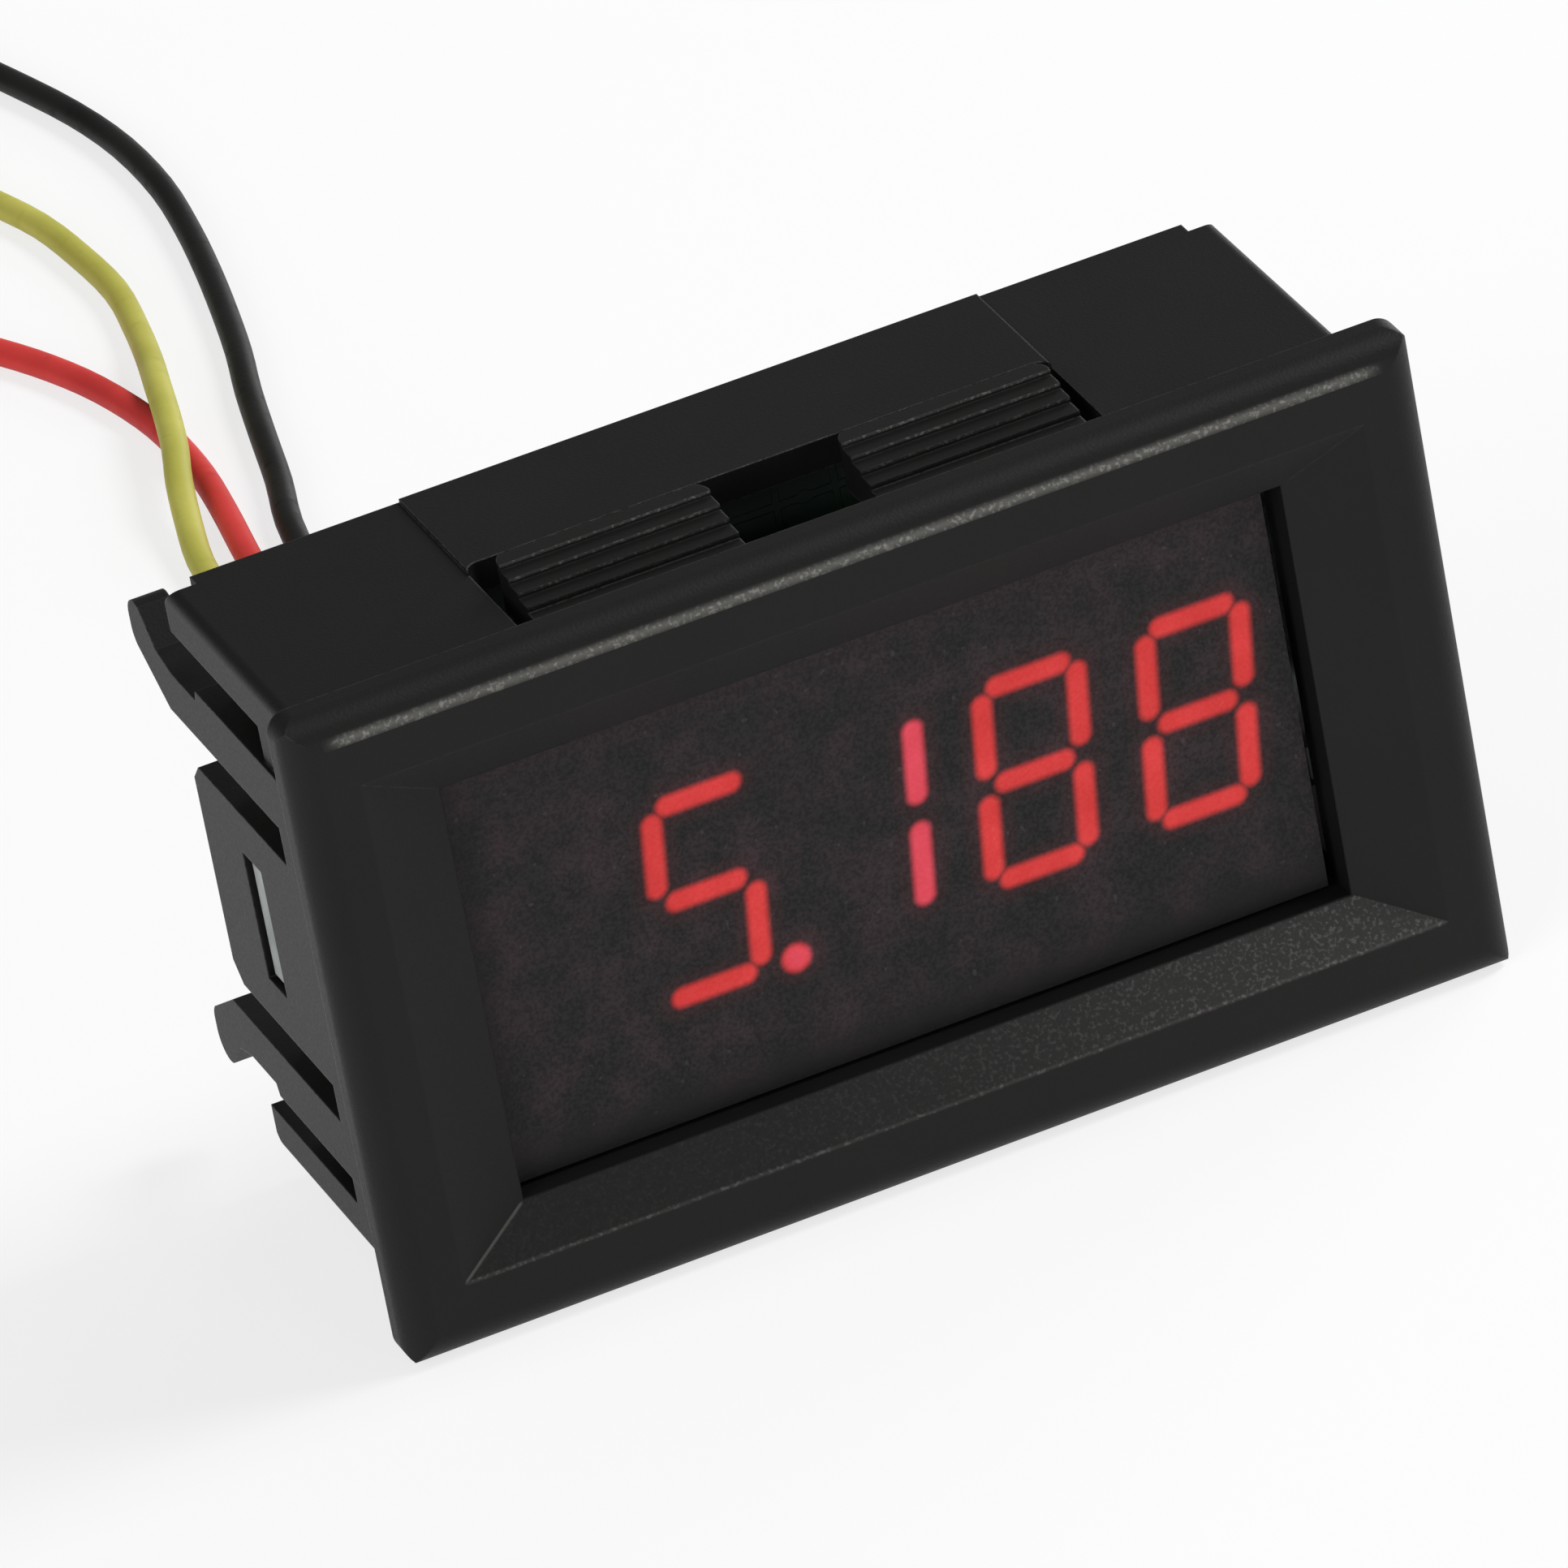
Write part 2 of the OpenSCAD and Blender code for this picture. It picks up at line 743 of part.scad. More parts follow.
module trimmer_rotor() {
    top = trimmer_h + rotor_proud;
    color([0.75, 0.76, 0.78])
        translate([trimmer_at[0], board_back, trimmer_at[1]])
            difference() {
                post(rotor_r, rotor_r, rotor_floor + rotor_gap, top);
                block(-rotor_r - 1, rotor_r + 1, top - rotor_slot, top + 1, -0.2, 0.2);
                block(-0.2, 0.2, top - rotor_slot, top + 1, -0.8, 0.8);
            }
}

module lead_solder() {
    color([0.75, 0.76, 0.78])
        for (x = [yellow_x, red_x, black_x])
            translate([x, 0, joint_z]) {
                post(joint_r, core_d / 2, joint_y, joint_y + 1.1);
                post(core_d / 2, core_d / 2, joint_y, lead_start);
            }
}

// Lead: a tube of eight sides swept along its route
sides = 8;

function unit(v) = v / norm(v);

function heading(route, i) = unit(route[min(i + 1, len(route) - 1)] - route[max(i - 1, 0)]);

function ring(p, t) =
    let (side = unit(cross(t, [0, 0, 1])), up = cross(side, t))
    [
        for (k = [0 : sides - 1])
            let (a = 360 * (k + 0.5) / sides)
                p + lead_r * (cos(a) * side + sin(a) * up)
    ];

module lead(route) {
    last = len(route) - 1;
    polyhedron(
        points = [for (i = [0 : last]) each ring(route[i], i == 0 ? [0, 1, 0] : heading(route, i))],
        faces = concat(
            [[for (k = [0 : sides - 1]) k]],
            [
                for (i = [0 : last - 1])
                    for (k = [0 : sides - 1])
                        let (n = (k + 1) % sides)
                            each [
                                [i * sides + k, (i + 1) * sides + k, (i + 1) * sides + n],
                                [i * sides + k, (i + 1) * sides + n, i * sides + n]
                            ]
            ],
            [[for (k = [sides - 1 : -1 : 0]) last * sides + k]]
        )
    );
}

// Middle of the coil that a lead runs into with a left turn
function coil_middle(route, course) =
    let (end = route[len(route) - 1])
    [end[0] - coil_r * sin(course), end[1] + coil_r * cos(course)];

// Radius of the innermost turn, where the turns lie a lead's width apart
function inner_turn(turns) = coil_r - turns * lead_d;

module coil(route, course, turns) {
    middle = coil_middle(route, course);
    inner = inner_turn(turns) - lead_r;
    translate([middle[0], middle[1], floor_z])
        rotate_extrude($fn = 96)
            translate([inner, 0])
                square([coil_r + lead_r - inner, lead_d]);
}

// The tinned end lies in the coil's hole, after a last tighter curl of the lead
module tinned_end(route, course, turns) {
    middle = coil_middle(route, course);
    a = course - 90 + 360 * turns;
    hub = inner_turn(turns) - curl_r;
    translate([
        middle[0] + hub * cos(a) + curl_r * cos(a + curl),
        middle[1] + hub * sin(a) + curl_r * sin(a + curl), lie
    ])
        rotate([0, 90, a + curl + 90])
            cylinder(r = core_d / 2, h = tinned_len);
}

module yellow_lead() {
    color([0.88, 0.86, 0.35])
        lead(yellow_route);
}

module red_lead() {
    color([0.78, 0.14, 0.16])
        lead(red_route);
}

module black_lead() {
    color([0.12, 0.12, 0.12])
        lead(black_route);
}

module yellow_coil() {
    color([0.88, 0.86, 0.35])
        coil(yellow_route, yellow_heading, yellow_turns);
}

module red_coil() {
    color([0.78, 0.14, 0.16])
        coil(red_route, red_heading, red_turns);
}

module black_coil() {
    color([0.12, 0.12, 0.12])
        coil(black_route, black_heading, black_turns);
}

module yellow_tinned_end() {
    color([0.78, 0.78, 0.8])
        tinned_end(yellow_route, yellow_heading, yellow_turns);
}

module red_tinned_end() {
    color([0.78, 0.78, 0.8])
        tinned_end(red_route, red_heading, red_turns);
}

module black_tinned_end() {
    color([0.78, 0.78, 0.8])
        tinned_end(black_route, black_heading, black_turns);
}

housing();
display_filter();
display_shell();
unlit(1, ["a", "b", "c", "d", "e", "f", "g"]);  // digit_1_unlit
lit(2, ["a", "f", "g", "c", "d"]);  // digit_2_lit
unlit(2, ["b", "e"]);  // digit_2_unlit
lit(3, ["b", "c"]);  // digit_3_lit
unlit(3, ["a", "d", "e", "f", "g"]);  // digit_3_unlit
lit(4, ["a", "b", "c", "d", "e", "f", "g"]);  // digit_4_lit
lit(5, ["a", "b", "c", "d", "e", "f", "g"]);  // digit_5_lit
color([0.9, 0.12, 0.1]) points([2]);  // point_lit
color([0.75, 0.72, 0.7]) points([1, 3, 4, 5]);  // points_unlit
display_pins();
display_solder();
circuit_board();
chip_body();
chip_pins();
regulator_body();
regulator_leads();
diode_body();
diode_leads();
chip_resistors();
chip_capacitors();
chip_end_caps();
trimmer_body();
trimmer_terminals();
trimmer_rotor();
lead_solder();
yellow_lead();
red_lead();
black_lead();
yellow_coil();
red_coil();
black_coil();
yellow_tinned_end();
red_tinned_end();
black_tinned_end();
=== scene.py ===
# %% [markdown]
# # A snap-in panel meter, dressed in Blender
#
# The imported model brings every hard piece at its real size. This notebook adds what the solids leave
# out: the leads with their real turns, solder that wets its pins, and a material for each piece. It
# starts by loading the solids, because everything below is placed in their frame. Lengths on the meter
# are written in millimetres and become metres where Blender takes them. Only the camera and the lamps
# are placed in metres.

# %% Load the frame
import math
import random

import bpy
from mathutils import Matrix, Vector


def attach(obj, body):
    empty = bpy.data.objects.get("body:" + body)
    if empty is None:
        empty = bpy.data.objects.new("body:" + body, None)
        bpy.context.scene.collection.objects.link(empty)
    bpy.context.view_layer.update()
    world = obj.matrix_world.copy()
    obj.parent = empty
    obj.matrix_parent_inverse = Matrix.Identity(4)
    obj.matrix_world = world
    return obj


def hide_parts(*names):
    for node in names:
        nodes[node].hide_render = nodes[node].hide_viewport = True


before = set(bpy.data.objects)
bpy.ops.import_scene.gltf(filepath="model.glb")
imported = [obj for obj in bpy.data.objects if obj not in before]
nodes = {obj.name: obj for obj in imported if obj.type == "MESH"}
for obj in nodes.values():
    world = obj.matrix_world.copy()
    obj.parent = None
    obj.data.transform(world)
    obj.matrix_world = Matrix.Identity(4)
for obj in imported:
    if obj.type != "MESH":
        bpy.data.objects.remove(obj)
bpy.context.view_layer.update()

MM = 0.001

# %% [markdown]
# ## The camera
#
# The meter is seen from its upper left with a long lens: far away and narrow, so that the near and far
# edges stay almost parallel. A slight roll leans the view, as a camera held in the hand does.

# %% Set up the camera
def add(name, data):
    """A new object in the scene with the given data."""
    made = bpy.data.objects.new(name, data)
    bpy.context.scene.collection.objects.link(made)
    return made


camera_data = bpy.data.cameras.new("studio_camera")
camera_data.sensor_width = 36
camera_data.lens = 387.25
camera_data.clip_start = 0.05
camera_data.clip_end = 20
camera = add("studio_camera", camera_data)
camera.location = (-0.17886, -0.54102, 0.32498)
camera.rotation_euler = [math.radians(a) for a in (60.0912, 9.4737, -23.3176)]
bpy.context.scene.camera = camera
print(f"camera: {camera_data.lens:.0f} mm lens, {camera.location.length:.2f} m from the meter")

# %% [markdown]
# ## The leads
#
# Each lead is a stranded wire in a PVC sleeve, 1.2 mm thick and about 200 mm long with its tinned end.
# It leaves its solder joint straight, drops to the table and lies there in slack waves. What the
# camera does not see is wound into a small flat coil, and the last of it curls inwards. A curve with a
# round bevel is the natural tool: its points are the route, and its thickness is one number. The
# route's points are the same as those of the solids, and a Catmull-Rom spline smooths them, because it
# passes through every point.

# %% Describe the routes
LEAD_D, TINNED = 1.2, 3.6
TABLE = -14.5  # the bezel's lower edge stands on a table at this height
LIE = TABLE + LEAD_D / 2  # the height of a lead's middle where it lies on the table
JOINT_Z = -10.15
STRAIGHT_Y = (13.3, 15, 17)  # a lead leaves its joint straight, through these
LEAD_START = STRAIGHT_Y[0]
COIL_R, COIL_POINTS = 7.8, 24  # the outermost turn, and the points in each turn
CURL_R, CURL, CURL_POINTS = 3.0, 120.0, 4  # the curl at the end: radius, degrees and points


def lay(points):
    """Points as vectors; a point that is given no height lies on the table."""
    return [Vector((p[0], p[1], p[2] if len(p) > 2 else LIE)) for p in points]


leads = {
    "yellow": {"x": -14.0, "heading": 106, "turns": 2.35, "route": [
        (-14, 21, JOINT_Z - 1), (-13.6, 25, JOINT_Z - 2.8), (-13.1, 29), (-12.5, 33.5), (-11.7, 38),
        (-10.9, 42.5), (-10, 47), (-9.1, 51.5), (-8.2, 56), (-7.5, 60), (-7.1, 63.5, LIE + 0.1),
        (-6.5, 66.2, LIE + 0.5), (-5.8, 68.8, LIE + 1.1), (-4.9, 71.5, LIE + 1.25),
        (-4.1, 74.5, LIE + 1.25), (-3.4, 77.4, LIE + 1.1), (-2.4, 81.4, LIE + 0.4), (-1.6, 85.3),
        (-1.1, 89), (-1.2, 93), (-1.6, 97), (-2.6, 101), (-4.3, 107.5)]},
    "red": {"x": -11.5, "heading": 127, "turns": 2.85, "route": [
        (-11.4, 21, JOINT_Z - 1), (-11, 25, JOINT_Z - 2.8), (-10.5, 29), (-9.9, 33.5), (-9.2, 38),
        (-8.5, 42.5), (-7.7, 47), (-6.9, 51.5), (-6.2, 56), (-5.6, 60), (-5.1, 63.6), (-4.6, 67),
        (-4.2, 70.5), (-4.1, 74), (-4.3, 77.2), (-5, 81), (-6, 84.2), (-7.3, 87.2), (-9.2, 90.8),
        (-11.2, 93.6)]},
    "black": {"x": -9.0, "heading": 106, "turns": 1.8, "route": [
        (-8.9, 21, JOINT_Z - 1), (-8.5, 25, JOINT_Z - 2.8), (-8, 29), (-7.3, 33.5), (-6.6, 38),
        (-5.9, 42.5), (-5.2, 47), (-4.5, 51.5), (-3.9, 56), (-3.4, 60), (-2.7, 64.3), (-1.7, 68),
        (-0.8, 72), (0.2, 76.3), (1.2, 80), (2.1, 84), (2.9, 88), (3.6, 92.2), (4.1, 96.6),
        (4.1, 101.4), (3.5, 106), (2.3, 111), (0.9, 116), (-0.8, 122), (-2.2, 127)]},
}
print({colour: len(lead["route"]) for colour, lead in leads.items()}, "route points")


def on_circle(middle, radius, degrees):
    """The point on the table at an angle and a distance from the given middle."""
    a = math.radians(degrees)
    return Vector((middle.x + radius * math.cos(a), middle.y + radius * math.sin(a), LIE))


def route_of(lead):
    """All points of one lead: out of its joint, along the table, round its coil, and the curl."""
    points = lay([(lead["x"], y, JOINT_Z) for y in STRAIGHT_Y] + lead["route"])
    course, turns = lead["heading"], lead["turns"]
    middle = on_circle(points[-1], COIL_R, course + 90)
    steps = round(turns * COIL_POINTS)
    for i in range(1, steps + 1):
        turn = turns * i / steps
        points.append(on_circle(middle, COIL_R - LEAD_D * turn, course - 90 + 360 * turn))
    a = course - 90 + 360 * turns
    hub = on_circle(middle, COIL_R - LEAD_D * turns - CURL_R, a)
    return points + [on_circle(hub, CURL_R, a + CURL * k / CURL_POINTS)
                     for k in range(1, CURL_POINTS + 1)]


def smooth(points, parts=3):
    """Catmull-Rom points between the given ones, none of them sunk into the table."""
    fine = []
    for i in range(len(points) - 1):
        p0, p1 = points[max(i - 1, 0)], points[i]
        p2, p3 = points[i + 1], points[min(i + 2, len(points) - 1)]
        for k in range(parts):
            t = k / parts
            place = 0.5 * (2 * p1 + (p2 - p0) * t + (2 * p0 - 5 * p1 + 4 * p2 - p3) * t ** 2
                           + (3 * p1 - p0 - 3 * p2 + p3) * t ** 3)
            place.z = max(place.z, LIE)
            fine.append(place)
    return fine + [points[-1]]


# %% Make the leads
def round_curve(name, routes, thickness, roundness):
    """One curve with a round strand along each route. The bevel is a metre and each point scales
    it down, so that a point's radius is the strand's own."""
    curve = bpy.data.curves.new(name, "CURVE")
    curve.dimensions = "3D"
    curve.bevel_depth = 1
    curve.bevel_resolution = roundness
    curve.use_fill_caps = True
    for points in routes:
        spline = curve.splines.new("POLY")
        spline.points.add(len(points) - 1)
        for point, place in zip(spline.points, points):
            point.co = (*(place * MM), 1)
            point.radius = thickness / 2 * MM
        spline.use_smooth = True
    return add(name, curve)


for colour, lead in leads.items():
    points = smooth(route_of(lead))
    length = sum((b - a).length for a, b in zip(points, points[1:]))
    piece = round_curve(f"{colour}_wire", [points], thickness=LEAD_D, roundness=5)
    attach(piece, "meter")
    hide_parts(f"{colour}_lead", f"{colour}_coil")
    points[0] * MM
    print(f"{colour} lead: {length:.1f} mm of insulation and {TINNED} mm tinned")

# %% [markdown]
# ## A short way to write shaders
#
# Each finish is one shader with some maths in front of it. A small class wraps a socket, so that a sum
# such as `1 - mask` adds its own Math node. A mask is a number from 0 to 1 over the surface: `step`
# makes one that rises, `drop` makes one that falls, and `a | b` covers what either of them covers.
# Everything else goes through one method that takes a node's type, its settings and its inputs.

# %% Wrap a socket
class Link:
    """An output socket that can be used in sums."""

    def __init__(self, recipe, socket):
        self.recipe, self.socket = recipe, socket

    def math(self, operation, *others):
        """Any other operation of the Math node, with this socket as its first number."""
        return self.recipe.node("Math", {"operation": operation}, dict(enumerate((self, *others))))

    def __add__(self, other):
        return self.math("ADD", other)

    def __sub__(self, other):
        return self.math("SUBTRACT", other)

    def __rsub__(self, other):
        return self.recipe.node("Math", {"operation": "SUBTRACT"}, {0: other, 1: self})

    def __mul__(self, other):
        return self.math("MULTIPLY", other)

    def __or__(self, other):
        """Covers what either of two masks covers."""
        return self.math("MAXIMUM", other)

    def __abs__(self):
        return self.math("ABSOLUTE")

    __radd__, __rmul__ = __add__, __mul__

    def step(self, low, high):
        """0 below low, 1 above high, and a smooth rise between them."""
        return self.recipe.node("MapRange", {"interpolation_type": "SMOOTHSTEP"},
                                {"Value": self, "From Min": low, "From Max": high})

    def drop(self, low, high):
        """1 below low, 0 above high, and a smooth fall between them."""
        return 1 - self.step(low, high)


# %% Wrap a material
class Recipe:
    """A material whose nodes are added one by one."""

    def __init__(self, name):
        self.material = bpy.data.materials.new(name)
        self.material.use_nodes = True
        self.tree = self.material.node_tree

    def node(self, kind, settings=None, inputs=None, output=0):
        """Adds a node of the given type, sets and connects it, and gives one of its outputs."""
        made = self.tree.nodes.new("ShaderNode" + kind)
        for key, value in (settings or {}).items():
            setattr(made, key, value)
        for key, value in (inputs or {}).items():
            self.plug(made.inputs[key], value)
        return Link(self, made.outputs[output])

    def plug(self, socket, value):
        """Connects a Link to the socket, or sets a number, a colour or a vector on it."""
        if isinstance(value, Link):
            self.tree.links.new(value.socket, socket)
        elif hasattr(value, "__len__") and len(value) == 3 and socket.type == "RGBA":
            socket.default_value = (*value, 1)
        else:
            socket.default_value = value

    def dress(self, *names):
        """Gives the named pieces this material and no other."""
        for name in names:
            piece = nodes.get(name) or bpy.data.objects[name]
            piece.data.materials.clear()
            piece.data.materials.append(self.material)
        print(f"{self.material.name}: {len(self.tree.nodes)} nodes, on {', '.join(names)}")


# %% Wrap a finish
class Finish(Recipe):
    """A Principled shader with helpers that tell where on the piece a point lies."""

    def __init__(self, name, colour, roughness, metallic=0.0):
        super().__init__(name)
        self.shader = self.tree.nodes["Principled BSDF"]
        self.set("Base Color", colour)
        self.set("Roughness", roughness)
        self.set("Metallic", metallic)
        self.place = self.node("TexCoord", output="Object")

    def set(self, socket, value):
        self.plug(self.shader.inputs[socket], value)

    def mix(self, mask, a, b):
        """Colour a where the mask is 0, colour b where it is 1."""
        return self.node("Mix", {"data_type": "RGBA"}, {0: mask, 6: a, 7: b}, 2)

    def noise(self, size, detail=2.0, vector=None):
        """Noise from 0 to 1 whose lumps are about `size` millimetres across."""
        return self.node("TexNoise", None, {"Vector": vector or self.place, "Scale": 1 / (size * MM),
                                            "Detail": detail})

    def along(self, axis):
        """Position along X, Y or Z in millimetres."""
        scaled = self.node("VectorMath", {"operation": "SCALE"}, {0: self.place, "Scale": 1 / MM})
        return self.node("SeparateXYZ", None, {0: scaled}, axis)

    def distance(self, a, b):
        """Distance from a place, out of the offsets from it along two axes."""
        offsets = self.node("CombineXYZ", None, {0: a, 1: b})
        return self.node("VectorMath", {"operation": "LENGTH"}, {0: offsets}, "Value")

    def facing(self, axis):
        """How far the surface faces along X, Y or Z: 1 straight along it, -1 straight against it."""
        return self.node("SeparateXYZ", None, {0: self.node("TexCoord", output="Normal")}, axis)

    def edge_mask(self, radius):
        """1 on the sharp edges of a solid, within `radius` millimetres, and 0 on its flats."""
        rounded = self.node("Bevel", {"samples": 6}, {"Radius": radius * MM})
        flat = self.node("NewGeometry", output="True Normal")
        agree = self.node("VectorMath", {"operation": "DOT_PRODUCT"}, {0: rounded, 1: flat}, "Value")
        return agree.drop(0.86, 0.995)

    def bump(self, height, depth, edges=0.0):
        """Relief of `depth` millimetres; edges, in millimetres, softens the solid's sharp edges."""
        inputs = {"Height": height, "Distance": depth * MM, "Strength": 1.0}
        if edges:
            inputs["Normal"] = self.node("Bevel", {"samples": 4}, {"Radius": edges * MM})
        self.set("Normal", self.node("Bump", None, inputs))


# %% [markdown]
# ## Table and light
#
# A white table with some brightness of its own, for the camera and for reflections only, keeps the
# background clean, while its diffuse part still takes the meter's shadow. Four soft lamps do the
# rest: one high on the right that lights the bezel's top and throws the shadow to the left, a small
# low one in front that fills the face, a wide one on the left for the body's side wall, and one
# behind on the right that outlines the rounded edges. A small lamp gives a sharp highlight and a
# sharp shadow, and a large one gives soft ones.

# %% Make the table
TABLE_SIZE, OWN_LIGHT = 4, 0.74
bpy.ops.object.select_all(action="DESELECT")
bpy.ops.mesh.primitive_plane_add(size=TABLE_SIZE, location=(0, 0, TABLE * MM))
table = bpy.context.object
table.name = "table"
white = Recipe("white_table")
seen = (white.node("LightPath", output="Is Camera Ray")
        | white.node("LightPath", output="Is Glossy Ray"))
paper = white.node("BsdfDiffuse", None, {"Color": (0.95, 0.95, 0.95)})
top = white.node("MixShader", None, {0: seen * OWN_LIGHT, 1: paper, 2: white.node("Emission")})
white.plug(white.tree.nodes["Material Output"].inputs["Surface"], top)
white.dress("table")

# %% Place the lamps
METER = Vector((0, 0.01, 0))  # what the lamps face


def soft_lamp(name, place, size, power):
    """A square lamp of the given size, in metres and watts, that faces the meter."""
    lamp_data = bpy.data.lights.new(name, "AREA")
    lamp_data.shape = "SQUARE"
    lamp_data.size = size
    lamp_data.energy = power
    lamp = add(name, lamp_data)
    lamp.location = place
    lamp.rotation_euler = (METER - Vector(place)).to_track_quat("-Z", "Y").to_euler()
    print(f"{name}: {size} m wide, {power} W")


soft_lamp("overhead_lamp", (0.58, -0.08, 0.66), size=0.3, power=5)
soft_lamp("front_lamp", (0.22, -0.76, 0.17), size=0.1, power=0.6)
soft_lamp("fill_lamp", (-0.7, -0.42, 0.42), size=0.5, power=3.5)
soft_lamp("rear_lamp", (0.8, 0.5, 0.25), size=0.5, power=4)

world = bpy.data.worlds.new("studio")
bpy.context.scene.world = world
world.use_nodes = True
world.node_tree.nodes["Background"].inputs["Color"].default_value = (1, 1, 1, 1)
world.node_tree.nodes["Background"].inputs["Strength"].default_value = 0.2
bpy.context.scene.view_settings.view_transform = "Standard"

# %% [markdown]
# ## The housing's plastic
#
# The housing is moulded in one piece from black ABS. The mould leaves a fine satin grain everywhere
# and a coarser, leathery one on the slope below the window. The slope carries a painted sheen, with
# painted glints on its grain, that grows brighter towards its right end. Where walls meet, the plastic
# is rounded by a tenth of a millimetre or so, too small to model but wide enough to catch the lamps,
# so the Bevel node rounds the shading there. The same rounding, compared with the flat normal, tells
# where the edges are, and those are painted a little lighter: partly polish from handling, partly
# painted highlight. Masks made from the place and the direction of the surface pick out the rest: the
# slope, and painted highlights along the line round it, its mitred corner, the teeth of the tongues
# and the bezel's rounded upper edge.

# %% Find the slope
WINDOW_W, WINDOW_H = 35.85, 18.65
SLOPE_W, SLOPE_H = 3.4, 2.0  # how wide the slopes beside and below the window look from the front
RIM_X, RIM_Z = WINDOW_W / 2 + SLOPE_W, WINDOW_H / 2 + SLOPE_H

housing_plastic = Finish("black_abs", (0.008, 0.008, 0.008), 0.5)
along_x, along_y, height = (housing_plastic.along(axis) for axis in "XYZ")
faces_front, faces_up = housing_plastic.facing("Y") * -1, housing_plastic.facing("Z")
on_front = faces_front.step(0.3, 0.5)
below_window = (height * -1 - WINDOW_H / 2).step(0, 0.1)
bottom_slope = faces_front.step(0.7, 0.8) * faces_up.step(0.35, 0.45) * below_window
across_rim = (RIM_X - abs(along_x)).step(0, 0.2)
near_rim = abs(height + RIM_Z).drop(0.02, 0.12) * across_rim
off_mitre = (along_x + RIM_X) * SLOPE_H - (height + RIM_Z) * SLOPE_W
off_mitre = off_mitre * (1 / math.hypot(SLOPE_W, SLOPE_H))
left_of_window = (along_x * -1 - WINDOW_W / 2).step(0, 0.2)
near_mitre = abs(off_mitre).drop(0.02, 0.1) * left_of_window * across_rim
print("window:", WINDOW_W, "by", WINDOW_H, "mm; its recess:", 2 * RIM_X, "by", 2 * RIM_Z, "mm")

# %% Find the teeth and the edges
BODY_TOP, TOOTH_H = 12.9, 0.25
TEETH_FRONT, TEETH_BACK = 2.5, 6.1
# EDGE_TILT, EDGE_END and EDGE_FADE place the painted highlight on the bezel's rounded upper edge.
EDGE_TILT, EDGE_END, EDGE_FADE = 0.24, 22.6, 1.2  # how far it faces up, and where it fades out
# Within WINDOW_RIM of the window the edges get neither wear nor the painted edge highlight.
WINDOW_RIM = 0.3  # the window's own edges stay unworn as far out as this

above_body = height - BODY_TOP
on_tongue = above_body.step(0.02, 0.06) * along_y.step(TEETH_FRONT - 0.5, TEETH_FRONT)
# A painted highlight along the edge of each tooth.
tooth_highlight = (above_body * (1 / TOOTH_H)).math("FRACT").step(0.35, 0.6)
tooth_highlight = tooth_highlight * along_y.step(TEETH_FRONT, TEETH_BACK - 0.1)
tooth_highlight = tooth_highlight * faces_front.step(0.6, 0.8) * on_tongue
# A painted highlight along the bezel's rounded upper edge.
upper_edge_highlight = abs(faces_up - EDGE_TILT).drop(0.0, EDGE_TILT) * faces_front.step(0.7, 0.8)
upper_edge_highlight = upper_edge_highlight * above_body.step(0, 0.2) * (EDGE_END - abs(along_x)).step(0, EDGE_FADE)
by_window = (WINDOW_W / 2 + WINDOW_RIM - abs(along_x)).step(0, 0.1)
by_window = by_window * (WINDOW_H / 2 + WINDOW_RIM - abs(height)).step(0, 0.1)
unmarked = by_window | on_tongue * along_y.drop(TEETH_BACK, TEETH_BACK + 0.2) * 0.8
print(f"teeth: {TOOTH_H} mm high, over {TEETH_BACK - TEETH_FRONT:.1f} mm of each tongue")

# %% Finish the housing
grain = housing_plastic.noise(0.13, 2)
leather = housing_plastic.noise(0.4, 4)
flecks = housing_plastic.noise(0.16, 2).step(0.5, 0.68)
broken = 0.3 + flecks * 0.7
corner = housing_plastic.edge_mask(0.12)
# Edges painted lighter: partly wear from handling, partly painted highlight.
wear_and_edge_highlight = corner * housing_plastic.noise(0.3, 2).step(0.3, 0.55) * (1 - unmarked)
tone = housing_plastic.noise(6, 3)
flat_black = housing_plastic.mix(tone, (0.0052, 0.0052, 0.0049), (0.0085, 0.0083, 0.008))
# A painted sheen with painted glints on the slope's grain, brighter towards its right end.
sheen_to_right = along_x.step(-26, 30)
painted_slope_sheen = bottom_slope * (0.35 + flecks * 0.65) * (0.08 + sheen_to_right * sheen_to_right * 0.92)
black_with_slope_sheen = housing_plastic.mix(painted_slope_sheen, flat_black, (0.1, 0.098, 0.095))
edges_worn_and_highlit = housing_plastic.mix(wear_and_edge_highlight * 0.8, black_with_slope_sheen, (0.055, 0.055, 0.051))
# Painted highlights, pale grey, on the line round the slope, its mitre, the teeth and the upper edge.
painted_highlights = (near_rim * broken * 0.26 | near_mitre * below_window * 0.25) * on_front
painted_highlights = painted_highlights | tooth_highlight * broken * 0.7 | upper_edge_highlight * (0.4 + flecks * 0.5)
housing_plastic.set("Base Color", housing_plastic.mix(painted_highlights, edges_worn_and_highlit, (0.24, 0.235, 0.215)))
housing_plastic.set("Roughness", 0.42 + grain * 0.18 - wear_and_edge_highlight * 0.1)
housing_plastic.set("Specular IOR Level", 0.2)
housing_plastic.bump(grain * 0.8 + leather * bottom_slope * 5, 0.012, edges=0.12)
housing_plastic.dress("housing")

# %% [markdown]
# ## The display's window
#
# Behind the bezel lies a dark film. It hides the white display and lets only the lit segments
# through, so it can stay an opaque solid that glows where a lit segment lies behind it. Every segment
# is the same shape: the set of points within half a stroke of a short line. The distance to that
# line, in coordinates that lean with the digits, gives both the bright bar and its soft edge. Light
# that strays in the film gives each bar a faint halo, and the film's lower edge is painted darker
# towards black, a painted shade for the shadow of the bezel over it.

